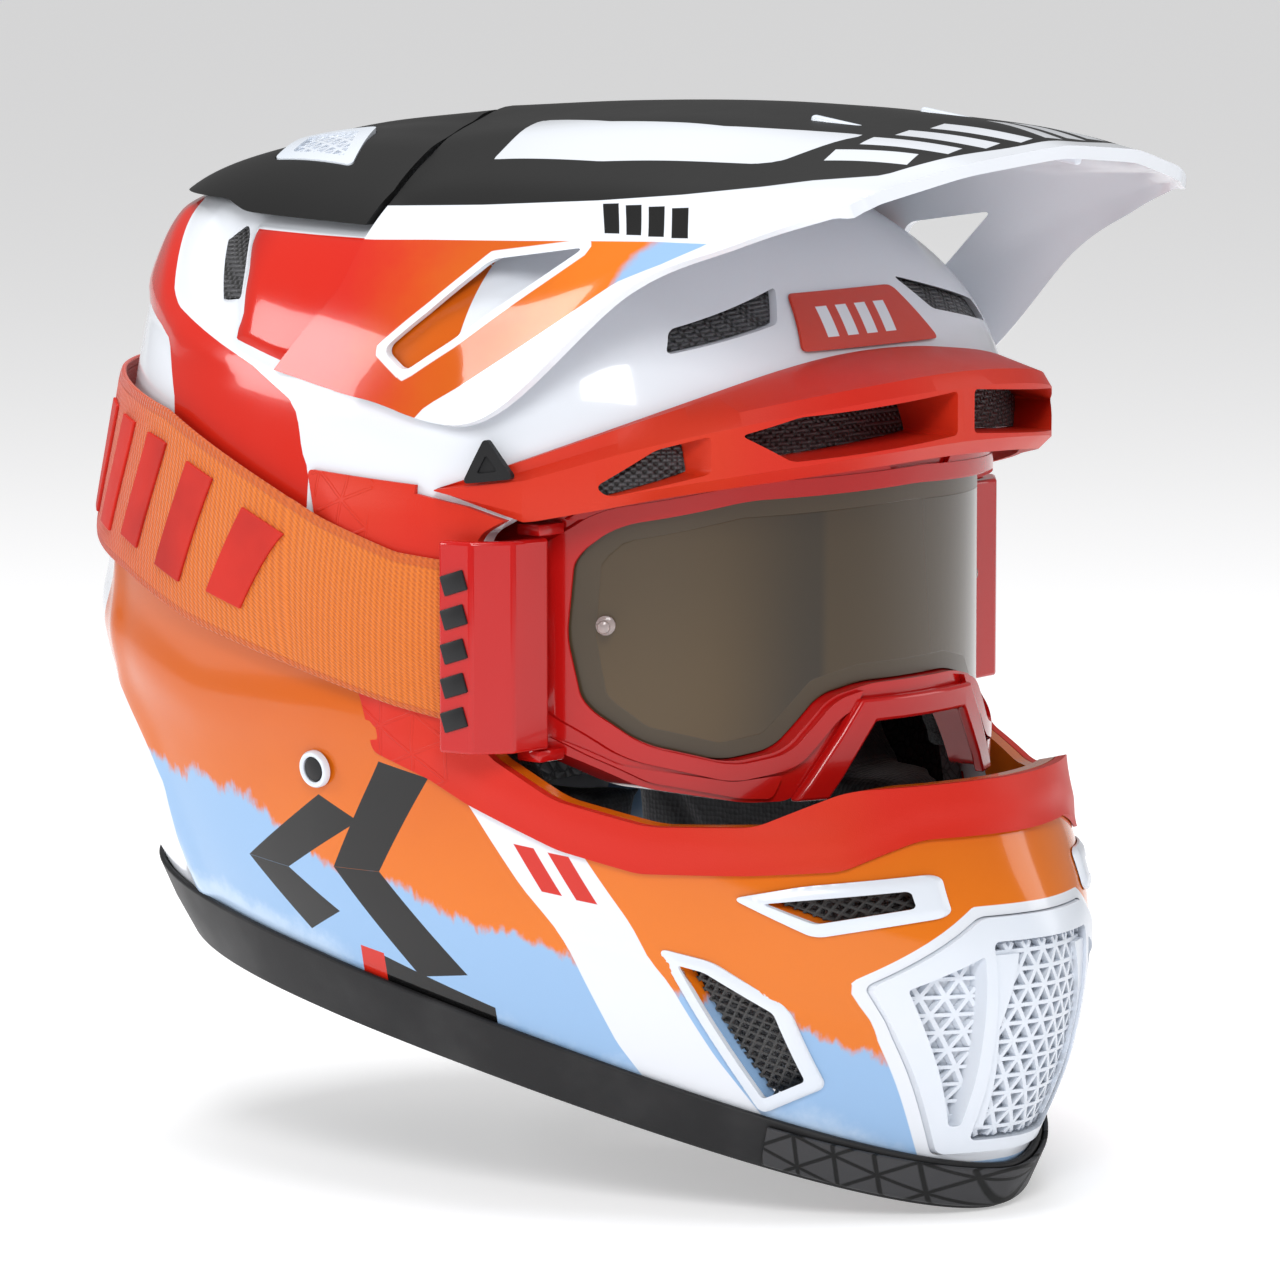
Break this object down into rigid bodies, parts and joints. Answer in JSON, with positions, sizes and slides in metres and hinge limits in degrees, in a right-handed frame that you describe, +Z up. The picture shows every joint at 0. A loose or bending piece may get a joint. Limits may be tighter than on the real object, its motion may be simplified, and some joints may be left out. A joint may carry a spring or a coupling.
{
  "type": "motocross helmet",
  "caption": "Full-face off-road helmet with a long peak, open eyeport, vented chin bar, removable pads, chin strap and fitted goggles on an elastic strap.",
  "frame": {"origin": "centre of the bottom of the bounding box, level as worn", "axes": "+X the wearer's left, -Y the front, +Z up"},
  "size_m": [0.2584, 0.3344, 0.3251],
  "materials": {
    "shell_paint": "glossy moulded composite, painted white, red, orange and light blue",
    "impact_foam": "moulded bead foam",
    "black_cloth": "brushed knit over foam",
    "red_plastic": "soft-touch moulded",
    "black_rubber": "matt moulded",
    "grey_rubber": "matt, embossed",
    "black_mesh": "woven mesh",
    "white_plastic": "glossy moulded",
    "matte_black": "matt paint",
    "visor_paint": "glossy paint with matt black deck",
    "goggle_red": "glossy moulded",
    "bronze_lens": "bronze mirror tint",
    "clear_plastic": "clear",
    "black_foam": "open-cell foam",
    "strap_elastic": "woven elastic with raised silicone grip pattern",
    "black_webbing": "woven webbing",
    "red_webbing": "woven webbing",
    "buckle_plastic": "moulded",
    "black_metal": "black"
  },
  "bodies": {
    "helmet": {"outer_shell": "shell_paint", "impact_liner": "impact_foam", "chin_bar_foam": "impact_foam", "comfort_liner": "black_cloth", "neck_roll": "black_cloth", "eyeport_trim": "red_plastic", "brow_trim": "red_plastic", "base_trim": "black_rubber", "chin_pad": "grey_rubber", "crown_fairing": "matte_black", "mouth_vent_frame": "white_plastic", "mouth_grille": "white_plastic", "mouth_filter": "black_foam", "forehead_badge": "red_plastic", "goggle_frame": "goggle_red", "goggle_lens": "bronze_lens", "goggle_foam": "black_foam", "nose_guard": "red_plastic", "goggle_strap": "strap_elastic", "strap_slider": "black_rubber", "buckle_socket": "buckle_plastic", "buckle_tongue": "buckle_plastic", "chin_strap_left": "black_webbing", "chin_strap_right": "black_webbing", "side_foam_left": "impact_foam", "side_foam_right": "impact_foam", "strap_rivet_left": "white_plastic", "strap_rivet_right": "white_plastic", "brow_mesh_left": "black_mesh", "brow_mesh_right": "black_mesh", "brow_side_mesh_left": "black_mesh", "brow_side_mesh_right": "black_mesh", "brow_plug_left": "black_rubber", "brow_plug_right": "black_rubber", "crown_vent_left": "white_plastic", "crown_vent_right": "white_plastic", "tear_off_post_left": "clear_plastic", "tear_off_post_right": "clear_plastic", "rear_vent_mesh_left": "black_mesh", "rear_vent_mesh_right": "black_mesh", "forehead_vent_mesh_left": "black_mesh", "forehead_vent_mesh_right": "black_mesh", "slot_vent_mesh_left": "black_mesh", "slot_vent_mesh_right": "black_mesh", "chin_vent_mesh_left": "black_mesh", "chin_vent_mesh_right": "black_mesh", "slot_vent_frame_left": "white_plastic", "slot_vent_frame_right": "white_plastic", "chin_vent_frame_left": "white_plastic", "chin_vent_frame_right": "white_plastic"},
    "visor": {"visor": "visor_paint", "visor_pivot_left": "black_metal", "visor_pivot_right": "black_metal"},
    "cheek_pad_assembly_left": {"cheek_pad_left": "black_cloth", "release_tab_left": "red_webbing"},
    "outrigger_body_left": {"outrigger_left": "goggle_red"},
    "cheek_pad_assembly_right": {"cheek_pad_right": "black_cloth", "release_tab_right": "red_webbing"},
    "outrigger_body_right": {"outrigger_right": "goggle_red"}
  },
  "joints": [
    {"name": "visor_tilt", "type": "hinge", "parent": "helmet", "child": "visor", "pos_m": [0, 0.00278, 0.25408], "axis": [1, 0, 0], "range_deg": [0, 3]},
    {"name": "cheek_pad_unsnap_left", "type": "slide", "parent": "helmet", "child": "cheek_pad_assembly_left", "axis": [-1, 0, 0], "range_m": [0, 0.03]},
    {"name": "outrigger_swing_left", "type": "hinge", "parent": "helmet", "child": "outrigger_body_left", "pos_m": [0.1015, -0.05172, 0.17108], "axis": [0, 0, -1], "range_deg": [0, 10]},
    {"name": "cheek_pad_unsnap_right", "type": "slide", "parent": "helmet", "child": "cheek_pad_assembly_right", "axis": [1, 0, 0], "range_m": [0, 0.03]},
    {"name": "outrigger_swing_right", "type": "hinge", "parent": "helmet", "child": "outrigger_body_right", "pos_m": [-0.1015, -0.05172, 0.17108], "axis": [0, 0, 1], "range_deg": [0, 10]}
  ]
}
